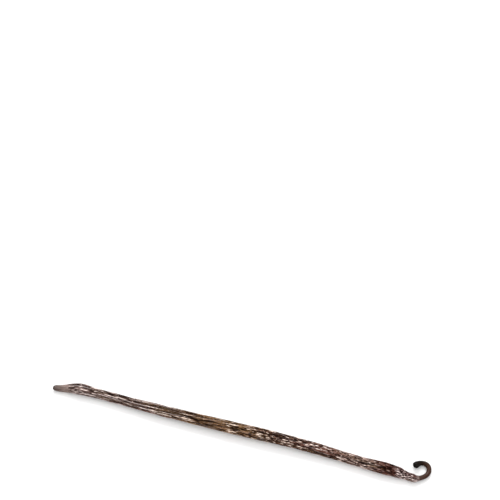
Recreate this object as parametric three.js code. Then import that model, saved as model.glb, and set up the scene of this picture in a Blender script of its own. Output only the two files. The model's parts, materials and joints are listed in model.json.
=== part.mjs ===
// A cured vanilla pod lying on a table: a long, thin, wrinkled seed pod of one piece.
// Its rounded blossom end points to -X. At +X it narrows to a neck, and the stalk curls
// back beside the pod as a hook that ends in a small flared knob.
//
// Millimetres and degrees, +Z up. The table is the plane Z = 0, and the origin lies on it
// under the middle of the pod's box.
//
// A "station" is a distance along the pod's centre line, from the blossom end. Whatever
// varies along the pod is a first value and a list of changes, [at, over, by]: from the
// station `at`, over the next `over` millimetres, the value eases by `by`.

import * as THREE from 'three';
import { mergeVertices } from 'three/addons/utils/BufferGeometryUtils.js';

// --- Driving dimensions ---

const CENTRE_LINE_LENGTH = 193.9;
const NECK_AT = 167;
const STALK_AT = 174;

// Heading of the centre line in plan, in degrees from +X towards +Y. The body is nearly
// straight, and the last three bends are the hook.
const FIRST_HEADING = 12;
const BENDS = [
  [7, 10, -12.4],
  [20, 16, -1],
  [36, 24, 1.6],
  [60, 40, 1.1],
  [100, 24, -1.9],
  [124, 16, -1.7],
  [142, 14, 1.7],
  [160, 13, -5.9],
  [173.6, 3.1, 36.9],
  [177.2, 10.7, 99.3],
  [184.4, 8.3, 102.6],
];

// Width seen from above: a slim blossom end with a shoulder, a body that swells twice,
// a neck, a thin stalk and the rounded knob at its end.
const BLOSSOM_END_WIDTH = 2.8;
const WIDTH_CHANGES = [
  [0, 15, 3.2],
  [12, 10, -0.95],
  [36, 18, 0.75],
  [60, 40, 0.4],
  [100, 24, -0.3],
  [124, 20, -0.55],
  [148, 12, 0.65],
  [160, 8, -0.5],
  [NECK_AT, 4.5, -1.45],
  [STALK_AT, 4, -1.8],
  [189.2, 3.4, 0.85],
];

// Thickness as a share of the width: the body lies a little flattened, the stalk is round.
const BODY_FLATNESS = 0.86;
const FLATNESS_CHANGES = [[NECK_AT, 10, 0.1]];

// Height of the underside above the table. Like any stiff crooked stick the pod stands on
// three places, the blossom end, the neck and the far side of the hook, and is clear of
// the table between them.
const BLOSSOM_END_LIFT = 0.35;
const LIFT_CHANGES = [
  [1, 3, -BLOSSOM_END_LIFT],
  [9, 20, 0.45],
  [56, 26, 0.3],
  [100, 30, -0.3],
  [142, 24, -0.45],
  [172, 5, 0.35],
  [179, 6, -0.35],
  [188, 5, 0.25],
];
// The underside is pressed flat by this share of its half thickness where it rests.
const RESTING_SHARE = 0.08;

// Both ends are rounded off over these lengths.
const BLOSSOM_CAP = 1.9;
const STALK_CAP = 1.1;

// Lengthwise furrows, which drying has drawn into the skin. Each one wanders round the
// pod by up to FURROW_WANDER degrees, and deepens and fades along it. The depth is that on
// a body of BODY_HALF_WIDTH, and goes down with the pod's own width.
const FURROWS = 9;
const FURROW_DEPTH = 0.42;
const BODY_HALF_WIDTH = 2.5;
const FURROW_HALF_ANGLE = 12;
const FURROW_WANDER = 17;
const WANDER_LENGTHS = { shortest: 70, longest: 150 };
const DEEPENING_LENGTHS = { shortest: 32, longest: 75 };
const SHALLOWEST_SHARE = 0.1;
const STALK_FURROW_SHARE = 0.45;
const FURROW_FADES = [
  [3, 12, 1],
  [NECK_AT, 7, STALK_FURROW_SHARE - 1],
];

// Faces: how many round the pod, and how long along it from each station on.
const SIDES = 32;
const FACE_LENGTHS = [
  [0, 0.5],
  [3, 1.2],
  [22, 2],
  [160, 1],
  [174, 0.72],
  [191, 0.4],
  [192.6, 0.16],
];

const POD_BROWN = 0x6b5147;

// --- Values that vary along the pod ---

function valueAt(station, first, changes) {
  return changes.reduce(
    (value, [at, over, by]) => value + by * THREE.MathUtils.smoothstep(station, at, at + over),
    first,
  );
}

function headingAt(station) {
  return THREE.MathUtils.degToRad(valueAt(station, FIRST_HEADING, BENDS));
}

// Quarter-round rise from 0 at a tip to 1 at the cap's full length.
function capShare(fromTip, capLength) {
  const left = 1 - THREE.MathUtils.clamp(fromTip / capLength, 0, 1);
  return Math.sqrt(1 - left * left);
}

function halfWidthAt(station) {
  const width = valueAt(station, BLOSSOM_END_WIDTH, WIDTH_CHANGES);
  const caps = capShare(station, BLOSSOM_CAP) * capShare(CENTRE_LINE_LENGTH - station, STALK_CAP);
  return (width / 2) * caps;
}

function halfThicknessAt(station) {
  return halfWidthAt(station) * valueAt(station, BODY_FLATNESS, FLATNESS_CHANGES);
}

// Height of the centre line. It takes the thickness just inside a rounded end, so that
// the end closes at mid height.
function heightAt(station) {
  const inside = THREE.MathUtils.clamp(station, BLOSSOM_CAP, CENTRE_LINE_LENGTH - STALK_CAP);
  const lift = valueAt(station, BLOSSOM_END_LIFT, LIFT_CHANGES);
  return lift + halfThicknessAt(inside) * (1 - RESTING_SHARE);
}

// --- Furrows ---

const GOLDEN_SHARE = 0.618034;

// A value from 0 to 1 for one trait of one furrow. Steps of the golden share scatter the
// values evenly, and give the same ones each time.
function drawFor(furrow, trait) {
  const value = (furrow + 1) * (trait + 1) * GOLDEN_SHARE;
  return value - Math.floor(value);
}

// A wave along the pod, from -1 to 1, of a furrow's own length and phase.
function furrowWave(station, furrow, trait, lengths) {
  const length = THREE.MathUtils.lerp(lengths.shortest, lengths.longest, drawFor(furrow, trait));
  return Math.sin(2 * Math.PI * (station / length + drawFor(furrow, trait + 1)));
}

// Signed angle between two directions round the pod, from -PI to PI.
function turnBetween(from, to) {
  return Math.atan2(Math.sin(to - from), Math.cos(to - from));
}

// Depth of the furrows at a point of the skin, as a share of FURROW_DEPTH.
function furrowShare(station, angle) {
  let share = 0;
  for (let furrow = 0; furrow < FURROWS; furrow++) {
    const wander = FURROW_WANDER * furrowWave(station, furrow, 0, WANDER_LENGTHS);
    const centre = THREE.MathUtils.degToRad((furrow / FURROWS) * 360 + wander);
    const away = turnBetween(centre, angle) / THREE.MathUtils.degToRad(FURROW_HALF_ANGLE);
    const rise = (1 + furrowWave(station, furrow, 2, DEEPENING_LENGTHS)) / 2;
    share += THREE.MathUtils.lerp(SHALLOWEST_SHARE, 1, rise) * Math.exp(-away * away);
  }
  return share * valueAt(station, 0, FURROW_FADES);
}

// --- The solid ---

// Stations of the rings, from the blossom end to the stalk's end.
function ringStations() {
  const stations = [0];
  FACE_LENGTHS.forEach(([from, faceLength], zone) => {
    const to = zone + 1 < FACE_LENGTHS.length ? FACE_LENGTHS[zone + 1][0] : CENTRE_LINE_LENGTH;
    const faces = Math.round((to - from) / faceLength);
    for (let face = 1; face <= faces; face++) {
      stations.push(from + ((to - from) * face) / faces);
    }
  });
  return stations;
}

// Walks the centre line from ring to ring, turning by the heading half way between them.
function ringCentres(stations) {
  const centre = new THREE.Vector3(0, 0, 0);
  return stations.map((station, ring) => {
    if (ring > 0) {
      const step = station - stations[ring - 1];
      const heading = headingAt(station - step / 2);
      centre.x += step * Math.cos(heading);
      centre.y += step * Math.sin(heading);
    }
    centre.z = heightAt(station);
    return centre.clone();
  });
}

// A point of the skin. The angle is 0 on the right-hand side, looking from the blossom
// end to the stalk, and 90 degrees on top.
function skinPoint(station, angle, centre) {
  const halfWidth = halfWidthAt(station);
  const scale = 1 - (FURROW_DEPTH / BODY_HALF_WIDTH) * furrowShare(station, angle);
  const across = halfWidth * scale * Math.cos(angle);
  const up = halfThicknessAt(station) * scale * Math.sin(angle);
  const heading = headingAt(station);
  return new THREE.Vector3(
    centre.x + across * Math.sin(heading),
    centre.y - across * Math.cos(heading),
    Math.max(0, centre.z + up),
  );
}

// A ball whose rings are drawn out along the centre line: its poles become the two ends.
function makePodGeometry() {
  const stations = ringStations();
  const centres = ringCentres(stations);
  const rings = stations.length - 1;
  const ball = new THREE.SphereGeometry(1, SIDES, rings);
  ball.deleteAttribute('normal');
  ball.deleteAttribute('uv');
  const geometry = mergeVertices(ball);
  const position = geometry.attributes.position;
  const onBall = new THREE.Vector3();
  for (let vertex = 0; vertex < position.count; vertex++) {
    onBall.fromBufferAttribute(position, vertex);
    const fromTop = Math.acos(THREE.MathUtils.clamp(onBall.y, -1, 1));
    const ring = rings - Math.round((fromTop / Math.PI) * rings);
    const angle = Math.atan2(onBall.z, onBall.x);
    const point = skinPoint(stations[ring], angle, centres[ring]);
    position.setXYZ(vertex, point.x, point.y, point.z);
  }
  return geometry;
}

// Brings the origin to the table, under the middle of the box.
function centreOnOrigin(geometry) {
  geometry.computeBoundingBox();
  const middle = geometry.boundingBox.getCenter(new THREE.Vector3());
  geometry.translate(-middle.x, -middle.y, -geometry.boundingBox.min.z);
  geometry.computeVertexNormals();
}

function makePod() {
  const geometry = makePodGeometry();
  centreOnOrigin(geometry);
  const skin = new THREE.MeshStandardMaterial({ color: POD_BROWN, roughness: 0.42, metalness: 0 });
  const pod = new THREE.Mesh(geometry, skin);
  pod.name = 'vanilla_pod';
  return pod;
}

const vanillaPod = new THREE.Group();
vanillaPod.add(makePod());

export default vanillaPod;
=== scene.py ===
# %% [markdown]
# # A cured vanilla pod
#
# A vanilla pod is the long seed capsule of a climbing orchid. Weeks of curing leave it dark,
# limp and a little oily. Its skin has shrunk round the seeds, so it is drawn into lengthwise
# furrows with finer creases between them. One end is the blunt blossom end. The other narrows
# to a neck and a thin stalk, which dries first and curls up.
#
# The solid model of the pod gives its size and its main form. This scene adds what can only be
# seen close up: the creases, the puckers, the colours and the oily shine.

import json
import math

import bmesh
import bpy
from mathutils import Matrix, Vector, noise

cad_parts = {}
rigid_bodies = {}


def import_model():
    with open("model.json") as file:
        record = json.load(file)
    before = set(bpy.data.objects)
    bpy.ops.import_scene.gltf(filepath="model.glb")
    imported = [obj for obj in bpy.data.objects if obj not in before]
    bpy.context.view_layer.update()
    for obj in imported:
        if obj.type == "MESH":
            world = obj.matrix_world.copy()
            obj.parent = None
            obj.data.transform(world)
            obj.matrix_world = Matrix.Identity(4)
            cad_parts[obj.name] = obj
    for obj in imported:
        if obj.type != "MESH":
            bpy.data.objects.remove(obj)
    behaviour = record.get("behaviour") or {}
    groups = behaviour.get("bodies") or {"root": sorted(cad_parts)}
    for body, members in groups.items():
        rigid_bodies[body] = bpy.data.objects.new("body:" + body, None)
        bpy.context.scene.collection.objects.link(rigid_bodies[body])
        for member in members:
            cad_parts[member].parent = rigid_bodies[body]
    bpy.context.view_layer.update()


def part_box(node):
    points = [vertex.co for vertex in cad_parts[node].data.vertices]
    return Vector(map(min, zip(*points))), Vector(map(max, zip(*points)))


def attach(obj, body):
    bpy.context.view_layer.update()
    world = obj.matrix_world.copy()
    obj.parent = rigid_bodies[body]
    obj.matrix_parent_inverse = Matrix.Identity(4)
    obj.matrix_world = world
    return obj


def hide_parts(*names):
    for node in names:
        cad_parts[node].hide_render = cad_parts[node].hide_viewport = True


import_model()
POD_NODE = "vanilla_pod"
pod_low, pod_high = (Vector(corner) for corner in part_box(POD_NODE))
print("the solid pod spans, in mm:", [round(side * 1000, 1) for side in pod_high - pod_low])

# %% [markdown]
# ## The camera
#
# A long lens from nearly a metre away keeps the pod's two ends at almost the same scale. A short
# lens close by would swell the nearer end. The camera looks down at a little under 60 degrees,
# and from slightly to the right, so the pod runs down across the lower part of the frame.
#
# A camera looks along its own -Z. Giving that direction a track quaternion, with Y as the up
# axis, turns it without any tilt of the horizon.

# %% Camera
MILLIMETRE = 0.001
CAMERA_AIM = Vector((-22.9, 96.0, 0.0)) * MILLIMETRE
CAMERA_DISTANCE = 0.927
CAMERA_ELEVATION = math.radians(57)
CAMERA_AZIMUTH = math.radians(16)
LENS_MM = 135
SENSOR_MM = 36

camera_data = bpy.data.cameras.new("table_camera")
camera_data.lens = LENS_MM
camera_data.sensor_width = SENSOR_MM
camera = bpy.data.objects.new("table_camera", camera_data)
bpy.context.collection.objects.link(camera)
towards_camera = Vector((
    math.sin(CAMERA_AZIMUTH) * math.cos(CAMERA_ELEVATION),
    -math.cos(CAMERA_AZIMUTH) * math.cos(CAMERA_ELEVATION),
    math.sin(CAMERA_ELEVATION),
))
camera.location = CAMERA_AIM + CAMERA_DISTANCE * towards_camera
camera.rotation_euler = (-towards_camera).to_track_quat("-Z", "Y").to_euler()
bpy.context.scene.camera = camera
print("camera at, in m:", [round(value, 3) for value in camera.location])

# %% [markdown]
# ## The centre line
#
# The pod is a crooked tube, so everything about it is easiest to say along its centre line. A
# *station* is a distance along that line in millimetres, from the blossom end. Heading, width,
# flatness and lift are each a first value and a list of changes `(at, over, by)`: from the
# station `at`, over the next `over` millimetres, the value eases by `by`. These are the same
# numbers as the solid's, so the visible pod lies exactly where the solid one does.
#
# A Bezier curve with a bevel would be quicker, but its cross section can't change from a
# flattened body to a round stalk, and its rings can't be spaced more tightly where it curls.

# %% Values along the pod
LENGTH = 193.9
NECK_AT = 167
STALK_AT = 174

FIRST_HEADING = 12
BENDS = [
    (7, 10, -12.4), (20, 16, -1), (36, 24, 1.6), (60, 40, 1.1), (100, 24, -1.9),
    (124, 16, -1.7), (142, 14, 1.7), (160, 13, -5.9),
    (173.6, 3.1, 36.9), (177.2, 10.7, 99.3), (184.4, 8.3, 102.6),
]
BLOSSOM_END_WIDTH = 2.8
WIDTHS = [
    (0, 15, 3.2), (12, 10, -0.95), (36, 18, 0.75), (60, 40, 0.4), (100, 24, -0.3),
    (124, 20, -0.55), (148, 12, 0.65), (160, 8, -0.5), (NECK_AT, 4.5, -1.45),
    (STALK_AT, 4, -1.8), (189.2, 3.4, 0.85),
]
BODY_FLATNESS = 0.86
FLATNESSES = [(NECK_AT, 10, 0.1)]
BLOSSOM_END_LIFT = 0.35
LIFTS = [
    (1, 3, -BLOSSOM_END_LIFT), (9, 20, 0.45), (56, 26, 0.3), (100, 30, -0.3),
    (142, 24, -0.45), (172, 5, 0.35), (179, 6, -0.35), (188, 5, 0.25),
]
RESTING_SHARE = 0.08
BLOSSOM_CAP = 1.9
STALK_CAP = 1.1
print("centre line:", LENGTH, "mm, with the neck at", NECK_AT, "and the stalk at", STALK_AT)

# %% Reading the values
def ease(station, at, over):
    share = min(1.0, max(0.0, (station - at) / over))
    return share * share * (3 - 2 * share)


def value_at(station, first, changes):
    return first + sum(by * ease(station, at, over) for at, over, by in changes)


def heading_at(station):
    return math.radians(value_at(station, FIRST_HEADING, BENDS))


def cap_share(from_tip, cap_length):
    left = 1 - min(1.0, max(0.0, from_tip / cap_length))
    return math.sqrt(1 - left * left)


def half_width_at(station):
    caps = cap_share(station, BLOSSOM_CAP) * cap_share(LENGTH - station, STALK_CAP)
    return value_at(station, BLOSSOM_END_WIDTH, WIDTHS) / 2 * caps


def half_thickness_at(station):
    return half_width_at(station) * value_at(station, BODY_FLATNESS, FLATNESSES)


def height_at(station):
    inside = min(LENGTH - STALK_CAP, max(BLOSSOM_CAP, station))
    lift = value_at(station, BLOSSOM_END_LIFT, LIFTS)
    return lift + half_thickness_at(inside) * (1 - RESTING_SHARE)


for name, station in (("blossom end", 3), ("body", 70), ("neck", NECK_AT), ("stalk", 182)):
    print(f"{name}: {2 * half_width_at(station):.1f} mm wide")

# %% [markdown]
# ## Furrows
#
# The large furrows are the ones that the solid has too. Each of the nine wanders round the pod
# and deepens and fades along it. Golden-share steps give every furrow its own lengths and
# phases, which look random and are the same on each run.

# %% Furrows of the solid
FURROWS = 9
FURROW_DEPTH = 0.42
BODY_HALF_WIDTH = 2.5
FURROW_HALF_ANGLE = math.radians(12)
FURROW_WANDER = math.radians(17)
WANDER_LENGTHS = (70, 150)
DEEPENING_LENGTHS = (32, 75)
SHALLOWEST_SHARE = 0.1
STALK_FURROW_SHARE = 0.45
FURROW_FADES = [(3, 12, 1), (NECK_AT, 7, STALK_FURROW_SHARE - 1)]
GOLDEN_SHARE = 0.618034
print("furrows:", FURROWS, "of up to", FURROW_DEPTH, "mm")

# %% Where the furrows run
def draw_for(furrow, trait):
    return ((furrow + 1) * (trait + 1) * GOLDEN_SHARE) % 1.0


def furrow_wave(station, furrow, trait, lengths):
    length = lengths[0] + (lengths[1] - lengths[0]) * draw_for(furrow, trait)
    return math.sin(2 * math.pi * (station / length + draw_for(furrow, trait + 1)))


def furrows_at(station):
    """Where each furrow is round the pod at a station, and how deep."""
    fade = value_at(station, 0, FURROW_FADES)
    found = []
    for furrow in range(FURROWS):
        wander = FURROW_WANDER * furrow_wave(station, furrow, 0, WANDER_LENGTHS)
        rise = (1 + furrow_wave(station, furrow, 2, DEEPENING_LENGTHS)) / 2
        depth = fade * (SHALLOWEST_SHARE + (1 - SHALLOWEST_SHARE) * rise)
        found.append((furrow / FURROWS * 2 * math.pi + wander, depth))
    return found


def line_share(angle, lines, half_angle):
    """How much of the lines there is at an angle round the pod."""
    share = 0.0
    for centre, strength in lines:
        away = math.remainder(angle - centre, 2 * math.pi) / half_angle
        share += strength * math.exp(-away * away)
    return share


print("deepest furrow at mid body:", round(FURROW_DEPTH * max(d for _, d in furrows_at(95)), 2), "mm")

# %% [markdown]
# ## Ribs
#
# Thin ribs run between the furrows. They are long and unbroken near the blossom end, and come
# and go along the rest of the body. Their paleness is a painted highlight along each rib, so they
# are lines of colour on the skin rather than a relief.

# %% Ribs
RIBS = 13
RIB_HALF_ANGLE = math.radians(4)
RIB_WANDER = math.radians(12)
RIB_WANDER_LENGTHS = (50, 110)
RIB_STRENGTH_LENGTHS = (18, 46)
RIB_FADES = [(5, 8, 1), (44, 30, -0.6), (NECK_AT - 9, 6, -0.4)]
RIB_WANDER_TRAIT = 5
RIB_STRENGTH_TRAIT = 9


def ribs_at(station):
    """Where each rib is round the pod at a station, and how pale."""
    fade = value_at(station, 0, RIB_FADES)
    found = []
    for rib in range(RIBS):
        wander = RIB_WANDER * furrow_wave(station, rib, RIB_WANDER_TRAIT, RIB_WANDER_LENGTHS)
        rise = furrow_wave(station, rib, RIB_STRENGTH_TRAIT, RIB_STRENGTH_LENGTHS)
        strength = fade * max(0.0, rise)
        found.append((rib / RIBS * 2 * math.pi + wander, strength))
    return found


print("ribs:", RIBS)

# %% [markdown]
# ## Creases
#
# Between the furrows the dried skin has shrunk into long narrow pillows with a sharp crease round
# each of them. Cell noise has just that form: every place belongs to the nearest of many
# scattered points, and where two points are equally near, the border between their cells runs.
# Stretching the cells many times along the pod turns them into pillows. Ridged noise would be
# the other choice, but it leaves wide flat patches between its lines.
#
# The skin shrinks round the pod much more than along it. So the border between two pillows that
# lie side by side is a deep crease, and the border between two that lie end to end is hardly
# there. The pillows are longest in the half towards the blossom end and shortest at the neck.
# `lengthenings` does that, by slowing or hurrying the count of cells along the pod.
#
# There are two sets, one of long creases and one of short ones between them. Fine puckers lie
# over the short ones.
#
# The cells are read on a *straightened* pod, a tube that narrows less at the neck than the pod
# does. So the creases follow the bends, and crowd together at the neck rather than running off
# the side. Blender's vector noise draws its numbers anew at each start, so it is given a seed
# first.

# %% Creases
SEED = 11
noise.seed_set(SEED)


class Creasing:
    """Pillows with creases round them: how far apart, how long, how deep and how wide."""

    def __init__(self, apart, long, lengthenings, depth, width, fades, away):
        self.apart = apart
        self.long = long
        self.lengthenings = lengthenings
        self.depth = depth
        self.width = width
        self.fades = fades
        self.away = away

    def at(self, straight):
        """How deep in a crease a place is, and a number drawn for its pillow, both 0 to 1."""
        passed = value_at(straight.x, straight.x / self.long, self.lengthenings)
        place = Vector((passed, straight.y / self.apart, straight.z / self.apart))
        distances, middles = noise.voronoi(place + self.away)
        from_border = distances[1] - distances[0]
        to_neighbour = middles[1] - middles[0]
        beside = math.hypot(to_neighbour.y, to_neighbour.z) / to_neighbour.length
        draw = (1 + noise.cell(middles[0])) / 2
        return beside * max(0.0, 1 - from_border / self.width), draw


print("crease noise seeded with", SEED)

# %% Long and short creases
LONG = Creasing(
    apart=1.2, long=24, lengthenings=[], depth=0.2, width=0.26,
    fades=[(2, 12, 1), (NECK_AT + 3, 6, -0.6)], away=Vector((5.3, 2.1, 6.4)),
)
SHORT = Creasing(
    apart=0.5, long=2.4, lengthenings=[(4, 66, -13), (50, 50, -10), (165, 12, 4)],
    depth=0.12, width=0.6,
    fades=[(1, 10, 1), (STALK_AT + 1, 3, -0.8)], away=Vector((14.2, 5.9, 8.8)),
)
print("creases: long ones", LONG.depth, "mm deep, short ones", SHORT.depth, "mm")

# %% Sway and puckers
PUCKER_APART = 0.5
PUCKER_LONG = 1.2
PUCKER_DEPTH = 0.05
SWAY = 0.5
SWAY_LENGTH = 17
SWAY_APART = 4


def swayed(straight):
    """Creases that swing a little from side to side as they go."""
    slow = Vector((straight.x / SWAY_LENGTH, straight.y / SWAY_APART, straight.z / SWAY_APART))
    swing = noise.noise_vector(slow)
    return Vector((straight.x, straight.y + SWAY * swing.x, straight.z + SWAY * swing.y))


def puckered(straight):
    place = Vector((straight.x / PUCKER_LONG, straight.y / PUCKER_APART, straight.z / PUCKER_APART))
    return abs(noise.noise(place))


print("creases sway by up to", SWAY, "mm, and puckers are", PUCKER_DEPTH, "mm deep")

# %% [markdown]
# ## The rings
#
# The pod is a ball whose rings are drawn out along the centre line, so its two poles close the
# two ends. A ball from `bmesh.ops.create_uvsphere` already has its ends closed. The alternative,
# extruding ring after ring from a circle, makes the same mesh with more steps.
#
# The stalk came off the vine. Its end is a round knob with a shallow scar in the middle, so the
# last rings shrink on the spot, or go back a little, rather than travelling on. `SCAR` lists how
# far beyond `SCAR_AT` each of those rings lies, and its share of the width there.

# %% Stations of the rings
SIDES = 132
RING_SPACINGS = [(0, 0.12), (3, 0.24), (10, 0.285), (160, 0.25), (LENGTH - 1.2, 0.12)]
SCAR = [(0.04, 0.9), (0.0, 0.78), (-0.12, 0.6), (-0.2, 0.4), (-0.25, 0.2), (-0.26, 0)]
SCAR_AT = LENGTH - 0.2


def ring_stations():
    """Each ring's station, and the share of the width there that it has."""
    rings = [(0.0, 1.0)]
    for zone, (start, spacing) in enumerate(RING_SPACINGS):
        stop = RING_SPACINGS[zone + 1][0] if zone + 1 < len(RING_SPACINGS) else SCAR_AT
        count = round((stop - start) / spacing)
        rings += [(start + (stop - start) * (step + 1) / count, 1.0) for step in range(count)]
    rings += [(SCAR_AT + beyond, share) for beyond, share in SCAR]
    return rings


rings = ring_stations()
print("rings:", len(rings), "of", SIDES, "sides")

# %% Centre of each ring
CENTRE_STEP = 0.1


def centre_line():
    """Points of the centre line on the table, one at every CENTRE_STEP."""
    points = [Vector((0, 0))]
    for step in range(round(LENGTH / CENTRE_STEP) + 1):
        heading = heading_at((step + 0.5) * CENTRE_STEP)
        points.append(points[-1] + CENTRE_STEP * Vector((math.cos(heading), math.sin(heading))))
    return points


line_points = centre_line()


def centre_at(station):
    steps = station / CENTRE_STEP
    before = min(int(steps), len(line_points) - 2)
    return line_points[before].lerp(line_points[before + 1], steps - before)


print("the stalk's end, in mm from the blossom end:", [round(v, 1) for v in centre_at(LENGTH)])

# %% [markdown]
# ## Shaping the skin
#
# Every vertex of the ball keeps its ring and its angle round the pod. Furrows and creases pull
# it towards the centre line, never away from it, so the visible pod stays inside the solid's
# outline. Skin that would dip below the table is laid on it.
#
# Laying the ball's axis along the pod mirrors it, which turns its faces to the inside. So they
# are all reversed. Recalculating the normals is the usual way, but it leaves this shell as it is.
# The printed volume settles the matter: it is negative on a shell that is inside out.
#
# Each vertex also tells the material five things: its place on the straightened pod, how deep in
# a long crease and in the valley round a pillow it lies, the number drawn for its pillow, and
# how much of a rib it is on.

# %% Shape the pod
FURROW_IN_CREASE = 0.2
TUBE_NARROWINGS = [(162, 10, -0.3)]


def skin_vertex(station, share, angle, furrows, ribs):
    """A vertex's offset from the centre line, and what the material is told about it."""
    tube = BODY_HALF_WIDTH * value_at(station, 1, TUBE_NARROWINGS)
    straight = Vector((station, tube * math.cos(angle), tube * math.sin(angle)))
    read_at = swayed(straight)
    width = half_width_at(min(station, SCAR_AT))
    in_long, _ = LONG.at(read_at)
    in_short, draw = SHORT.at(read_at)
    furrow = FURROW_DEPTH * line_share(angle, furrows, FURROW_HALF_ANGLE)
    long = LONG.depth * value_at(station, 0, LONG.fades) * in_long
    short_fade = value_at(station, 0, SHORT.fades)
    short = short_fade * (SHORT.depth * in_short + PUCKER_DEPTH * puckered(read_at))
    scale = share * (1 - (furrow + long + short) / BODY_HALF_WIDTH)
    flatness = value_at(station, BODY_FLATNESS, FLATNESSES)
    across = width * scale * math.cos(angle)
    up = width * flatness * scale * math.sin(angle)
    crease = (FURROW_IN_CREASE * furrow + long) / LONG.depth
    valley = short_fade * in_short
    rib = line_share(angle, ribs, RIB_HALF_ANGLE)
    return across, up, (straight, crease, valley, draw, rib)


def make_pod():
    mesh = bmesh.new()
    bmesh.ops.create_uvsphere(mesh, u_segments=SIDES, v_segments=len(rings) - 1, radius=1)
    straight_layer = mesh.verts.layers.float_vector.new("straight")
    crease_layer = mesh.verts.layers.float.new("crease")
    valley_layer = mesh.verts.layers.float.new("valley")
    draw_layer = mesh.verts.layers.float.new("draw")
    rib_layer = mesh.verts.layers.float.new("rib")
    lines = [(furrows_at(station), ribs_at(station)) for station, _ in rings]
    for vertex in mesh.verts:
        from_top = math.acos(min(1.0, max(-1.0, vertex.co.z)))
        ring = len(rings) - 1 - round(from_top / math.pi * (len(rings) - 1))
        station, share = rings[ring]
        angle = math.atan2(vertex.co.y, vertex.co.x)
        across, up, told = skin_vertex(station, share, angle, *lines[ring])
        heading = heading_at(station)
        centre = centre_at(station)
        vertex.co = Vector((
            centre.x + across * math.sin(heading),
            centre.y - across * math.cos(heading),
            max(0.0, height_at(station) + up),
        ))
        vertex[straight_layer], vertex[crease_layer] = told[:2]
        vertex[valley_layer], vertex[draw_layer], vertex[rib_layer] = told[2:]
    return mesh


pod_mesh = make_pod()
print("pod vertices:", len(pod_mesh.verts))

# %% Place the pod
bmesh.ops.reverse_faces(pod_mesh, faces=pod_mesh.faces)
for face in pod_mesh.faces:
    face.smooth = True
print("visible volume, in cubic cm:", round(pod_mesh.calc_volume(signed=True) / 1000, 2))
lowest = Vector([min(vertex.co[axis] for vertex in pod_mesh.verts) for axis in range(3)])
highest = Vector([max(vertex.co[axis] for vertex in pod_mesh.verts) for axis in range(3)])
middle = (lowest + highest) / 2
solid_middle = (pod_low + pod_high) / 2
bmesh.ops.translate(pod_mesh, verts=pod_mesh.verts, vec=(-middle.x, -middle.y, -lowest.z))
bmesh.ops.scale(pod_mesh, verts=pod_mesh.verts, vec=(MILLIMETRE, MILLIMETRE, MILLIMETRE))
bmesh.ops.translate(pod_mesh, verts=pod_mesh.verts, vec=(solid_middle.x, solid_middle.y, 0))

pod_data = bpy.data.meshes.new("dried_pod")
pod_mesh.to_mesh(pod_data)
pod_mesh.free()
pod = bpy.data.objects.new("dried_pod", pod_data)
bpy.context.collection.objects.link(pod)
print("visible pod, in mm:", [round(side, 2) for side in highest - lowest])
print("triangles:", sum(len(face.vertices) - 2 for face in pod_data.polygons))

# %% [markdown]
# ## A way to write shader sums
#
# A material is a graph of nodes. Written out node by node, a sum such as `1 - a * b` takes six
# lines. `Wire` holds one output socket and lets Python's own operators add the Math nodes, so
# that a mask can be written as a formula. `Finish.add` makes any other node.

# %% Wires and finishes
class Wire:
    """One output socket. Python sums with it add Math nodes."""

    def __init__(self, finish, socket):
        self.finish = finish
        self.socket = socket

    def _sum(self, operation, first, second):
        return self.finish.add("ShaderNodeMath", {"operation": operation}, {0: first, 1: second})

    def __add__(self, other):
        return self._sum("ADD", self, other)

    def __radd__(self, other):
        return self._sum("ADD", other, self)

    def __sub__(self, other):
        return self._sum("SUBTRACT", self, other)

    def __rsub__(self, other):
        return self._sum("SUBTRACT", other, self)

    def __mul__(self, other):
        return self._sum("MULTIPLY", self, other)

    def __rmul__(self, other):
        return self._sum("MULTIPLY", other, self)

    def __truediv__(self, other):
        return self._sum("DIVIDE", self, other)


print("a wire adds, subtracts, multiplies and divides")

# %% Finishes
class Finish:
    """A material whose nodes are made through add()."""

    def __init__(self, name):
        self.material = bpy.data.materials.new(name)
        self.material.use_nodes = True
        self.tree = self.material.node_tree
        self.tree.nodes.clear()

    def add(self, kind, settings=None, sockets=None, out=0):
        node = self.tree.nodes.new(kind)
        for name, value in (settings or {}).items():
            if name == "stops":
                set_stops(node.color_ramp, value)
            else:
                setattr(node, name, value)
        for name, value in (sockets or {}).items():
            if isinstance(value, Wire):
                self.tree.links.new(value.socket, node.inputs[name])
            else:
                node.inputs[name].default_value = value
        return Wire(self, node.outputs[out]) if len(node.outputs) else None

    def between(self, mask, low, high):
        """0 where the mask is at low or under, and 1 at high or over, eased."""
        return self.add(
            "ShaderNodeMapRange",
            {"interpolation_type": "SMOOTHSTEP"},
            {"Value": mask, "From Min": low, "From Max": high},
        )

    def blend(self, mask, under, over):
        """A colour that goes from under to over as the mask goes from 0 to 1."""
        return self.add(
            "ShaderNodeMix",
            {"data_type": "RGBA"},
            {"Factor": mask, 6: under, 7: over},
            out=2,
        )

    def grain(self, place, stretch, away=(0, 0, 0), detail=2.0):
        """Noise from 0 to 1, read at a place scaled by stretch."""
        scaled = self.add(
            "ShaderNodeVectorMath", {"operation": "MULTIPLY_ADD"}, {0: place, 1: stretch, 2: away}
        )
        return self.add("ShaderNodeTexNoise", {}, {"Vector": scaled, "Scale": 1.0, "Detail": detail})


print("a finish can add nodes, ease a mask, blend colours and make grain")

# %% Stops and tones
def set_stops(ramp, stops):
    while len(ramp.elements) > 1:
        ramp.elements.remove(ramp.elements[-1])
    ramp.elements[0].position, ramp.elements[0].color = stops[0]
    for place, colour in stops[1:]:
        ramp.elements.new(place).color = colour


def tone(red, green, blue):
    """A colour as a painter's chart gives it, from 0 to 255, in the linear values of shaders."""
    return tuple(
        value / 255 / 12.92 if value <= 10 else ((value / 255 + 0.055) / 1.055) ** 2.4
        for value in (red, green, blue)
    ) + (1.0,)


def grey(value):
    return tone(value, value, value)


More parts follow.
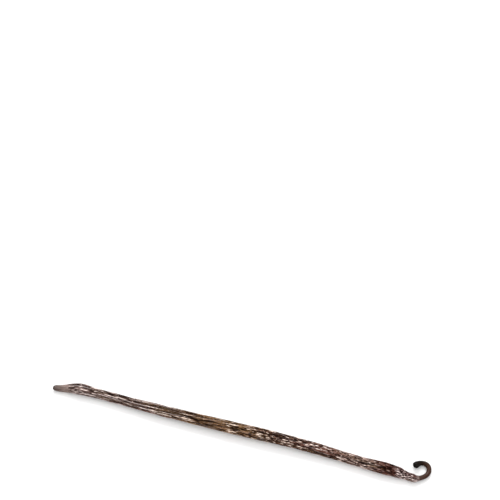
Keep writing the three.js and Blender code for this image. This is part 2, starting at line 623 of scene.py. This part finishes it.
print("mid grey as a shader sees it:", [round(v, 3) for v in grey(128)])

# %% [markdown]
# ## The skin's colour and shine
#
# The pod isn't one brown. The blossom end is a smooth greyish rose brown with fine dark fibres,
# the body runs from rose brown over olive to a redder brown, the puckered neck is paler, and the
# dry stalk darkens to a nearly black knob. Ramps along the station give that base, and the share
# and tone of the painted highlights.
#
# On top of the base, every crease and valley is darkened as painted shade. The crests of some
# pillows carry pale streaks of painted highlight, and so do the ribs. Which pillows are pale comes
# from the number drawn for each pillow.
#
# The alternative, painting an image and wrapping it round the pod, needs seams and a file. Here
# everything is worked out from the place on the pod.

# %% What the skin's vertices tell
skin = Finish("pod_skin")
straight = skin.add("ShaderNodeAttribute", {"attribute_name": "straight"}, out="Vector")
crease = skin.add("ShaderNodeAttribute", {"attribute_name": "crease"}, out="Fac")
valley = skin.add("ShaderNodeAttribute", {"attribute_name": "valley"}, out="Fac")
draw = skin.add("ShaderNodeAttribute", {"attribute_name": "draw"}, out="Fac")
rib = skin.add("ShaderNodeAttribute", {"attribute_name": "rib"}, out="Fac")
station = skin.add("ShaderNodeSeparateXYZ", {}, {"Vector": straight}, out="X")
along = station / LENGTH
print("the skin reads its station from 0 to", LENGTH, "mm")

# %% Colours along the pod
ZONES = [
    (0, tone(68, 57, 55)),
    (2.5, tone(98, 83, 78)),
    (6, tone(122, 105, 99)),
    (14, tone(120, 99, 92)),
    (46, tone(104, 80, 69)),
    (62, tone(104, 79, 60)),
    (74, tone(138, 104, 71)),
    (92, tone(132, 98, 66)),
    (108, tone(90, 61, 42)),
    (138, tone(118, 84, 71)),
    (153, tone(168, 140, 129)),
    (158, tone(108, 67, 56)),
    (165.5, tone(102, 62, 51)),
    (168.5, tone(154, 134, 132)),
    (174, tone(130, 110, 106)),
    (177, tone(62, 43, 36)),
    (186, tone(58, 39, 31)),
    (190, tone(26, 16, 12)),
    (LENGTH, tone(12, 8, 6)),
]
# Painted highlights: how much of them there is along the pod, and their tone.
HIGHLIGHT_SHARES = [
    (0, grey(20)), (4, grey(40)), (14, grey(235)), (153, grey(220)), (158, grey(120)),
    (165.5, grey(120)), (168.5, grey(250)), (174.5, grey(250)), (177, grey(0)),
]
HIGHLIGHT_TONES = [
    (0, tone(248, 226, 218)), (46, tone(248, 226, 216)), (70, tone(246, 220, 198)),
    (104, tone(246, 220, 200)), (125, tone(248, 222, 208)), (160, tone(248, 224, 216)),
]


def by_station(values):
    """A ramp that takes each value at its station."""
    return skin.add(
        "ShaderNodeValToRGB",
        {"stops": [(at / LENGTH, value) for at, value in values]},
        {"Fac": along},
    )


zone = by_station(ZONES)
highlight_share = by_station(HIGHLIGHT_SHARES)
highlight_tone = by_station(HIGHLIGHT_TONES)
print("colour zones along the pod:", len(ZONES))

# %% Mottle and fibres
OLIVE = tone(98, 76, 34)
RED_BROWN = tone(104, 50, 38)
FIBRE_BROWN = tone(52, 40, 36)

dashes = skin.grain(straight, (0.5, 4.6, 4.6), away=(4.0, 4.0, 8.0))
mottle = skin.grain(straight, (0.05, 0.55, 0.55), away=(2.0, 5.0, 1.0), detail=3.0)
on_body = 1 - skin.between(station, 174.5, 177.0)
past_tip = skin.between(station, 4.0, 22.0)
mottled = 0.5 * on_body * past_tip
olive = skin.blend(skin.between(mottle, 0.5, 0.68) * mottled, zone, OLIVE)
redder = skin.blend(skin.between(mottle, 0.5, 0.3) * mottled, olive, RED_BROWN)
tip_lines = skin.grain(straight, (0.12, 1.7, 1.7), away=(9.0, 2.0, 5.0))
fibres = skin.between(tip_lines, 0.5, 0.38) * (1 - past_tip)
fibrous = skin.blend(fibres * 0.6, redder, FIBRE_BROWN)
print("nodes after mottle and fibres:", len(skin.tree.nodes))

# %% Painted shade and painted highlights
VALLEY_SHADE_BROWN = tone(18, 8, 6)
CREASE_SHADE_BROWN = tone(24, 12, 8)
PALE_DUST_AND_HIGHLIGHT = tone(240, 222, 218)

# Painted shade: the valleys round the pillows are darkened in the colour.
valley_shade = skin.between(valley, 0.4, 0.7)
shaded = skin.blend(valley_shade * 0.95, fibrous, VALLEY_SHADE_BROWN)
# Painted shade: the long creases and furrows are darkened in the colour too.
crease_shade = skin.between(crease, 0.5, 1.1)
crease_shaded = skin.blend(crease_shade * 0.85, shaded, CREASE_SHADE_BROWN)
streak = skin.grain(straight, (0.06, 0.7, 0.7), away=(7.0, 1.0, 4.0))
crest = 1 - skin.between(valley, 0.1, 0.45)
pale = skin.between(streak * 0.3 + draw, 0.5, 0.7)
broken = skin.between(dashes, 0.4, 0.55)
# Painted highlights: pale streaks on the crests of some pillows.
painted_highlight = pale * crest * (1 - crease_shade) * highlight_share * (0.2 + 1.4 * broken)
highlighted = skin.blend(painted_highlight, crease_shaded, highlight_tone)
# Painted highlights: the ribs are pale lines in the colour.
rib_highlighted = skin.blend(skin.between(rib, 0.1, 0.8) * 0.45, highlighted, PALE_DUST_AND_HIGHLIGHT)
print("nodes after oil and bloom:", len(skin.tree.nodes))

# %% [markdown]
# ## Specks and shine
#
# Dust and tiny scars leave dark and pale specks, a little longer than wide. They are faint, and
# only break up surfaces that would look painted.
#
# Moist skin shines in small glints. The brown layer itself is dull, and apart from the highlights
# painted into its colour, a clear coat gives all of the shine, strongest on raised pillows. One
# layer with both colour and shine would be simpler, but its highlights would spread over the dark
# creases too and turn the pod grey.

# %% Specks
SPECK_BROWN = tone(30, 14, 10)

specks = skin.grain(straight, (1.0, 2.2, 2.2), away=(3.0, 1.0, 6.0), detail=1.0)
dark_specks = skin.between(specks, 0.5, 0.36) * on_body * past_tip
dusky = skin.blend(dark_specks * 0.4, rib_highlighted, SPECK_BROWN)
light_specks = skin.between(specks, 0.52, 0.66) * (1 - valley_shade) * highlight_share
specked = skin.blend(light_specks * 0.18, dusky, PALE_DUST_AND_HIGHLIGHT)
print("nodes after specks:", len(skin.tree.nodes))

# %% Shine and fine grain
PORES_PER_METRE = 4200
RELIEF_DEPTH = 0.15 * MILLIMETRE
COAT_ROUGHNESS = 0.22
COAT_IOR = 1.8

place = skin.add("ShaderNodeTexCoord", {}, {}, out="Object")
pores = skin.grain(place, (PORES_PER_METRE,) * 3, detail=3.0)
raised = (1 - skin.between(valley, 0.15, 0.6)) * (1 - crease_shade)
bare = 0.12 + 0.13 * on_body
gloss = skin.between(draw, 0.1, 0.8) * raised * (bare + 0.75 * past_tip * on_body)
shine = 0.42 + 0.25 * skin.between(pores, 0.35, 0.7)
relief = skin.add(
    "ShaderNodeBump",
    {},
    {"Strength": 0.5, "Distance": RELIEF_DEPTH, "Height": 0.3 * pores + dashes},
)
surface = skin.add(
    "ShaderNodeBsdfPrincipled",
    {},
    {
        "Base Color": specked,
        "Roughness": shine,
        "Normal": relief,
        "Specular IOR Level": 0.0,
        "Coat Weight": gloss,
        "Coat Roughness": COAT_ROUGHNESS,
        "Coat IOR": COAT_IOR,
    },
)
skin.add("ShaderNodeOutputMaterial", {}, {"Surface": surface})
pod_data.materials.append(skin.material)
print("nodes in the skin:", len(skin.tree.nodes))

# %% [markdown]
# ## The table and the light
#
# The pod lies on a plain white table under a large soft light, with a white room all round.
# The light stands behind the pod and above it, so the pod's far flank shines and its thin
# shadow falls towards the viewer.

# %% Table
TABLE_HALF_SIDE = 3.0
TABLE_WHITE = (0.9, 0.9, 0.9, 1.0)

table_mesh = bmesh.new()
bmesh.ops.create_grid(table_mesh, x_segments=1, y_segments=1, size=TABLE_HALF_SIDE)
table_data = bpy.data.meshes.new("table")
table_mesh.to_mesh(table_data)
table_mesh.free()
table = bpy.data.objects.new("table", table_data)
bpy.context.collection.objects.link(table)
matt = Finish("matt_white")
paint = matt.add("ShaderNodeBsdfPrincipled", {}, {"Base Color": TABLE_WHITE, "Roughness": 0.9})
matt.add("ShaderNodeOutputMaterial", {}, {"Surface": paint})
table_data.materials.append(matt.material)
print("table laid, in m:", 2 * TABLE_HALF_SIDE, "each way")

# %% White room
ROOM_BRIGHTNESS = 1.25

room = bpy.data.worlds.new("white_room")
room.use_nodes = True
walls = room.node_tree.nodes["Background"]
walls.inputs["Color"].default_value = (1.0, 1.0, 1.0, 1.0)
walls.inputs["Strength"].default_value = ROOM_BRIGHTNESS
bpy.context.scene.world = room
print("room brightness:", ROOM_BRIGHTNESS)

# %% Lamp
LAMP_PLACE = (-0.15, 0.65, 0.65)
LAMP_WIDE = 0.6
LAMP_DEEP = 0.24
LAMP_WATTS = 4.5

lamp_data = bpy.data.lights.new("back_box", "AREA")
lamp_data.shape = "RECTANGLE"
lamp_data.size = LAMP_WIDE
lamp_data.size_y = LAMP_DEEP
lamp_data.energy = LAMP_WATTS
lamp = bpy.data.objects.new("back_box", lamp_data)
bpy.context.collection.objects.link(lamp)
lamp.location = LAMP_PLACE
lamp.rotation_euler = (-Vector(LAMP_PLACE)).to_track_quat("-Z", "Y").to_euler()
bpy.context.scene.view_settings.view_transform = "Standard"
print("lamp at, in m:", LAMP_PLACE)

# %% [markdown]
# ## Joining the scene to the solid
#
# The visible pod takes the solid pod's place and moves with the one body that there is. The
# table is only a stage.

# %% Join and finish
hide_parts(POD_NODE)
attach(pod, "root")
bpy.context.view_layer.update()
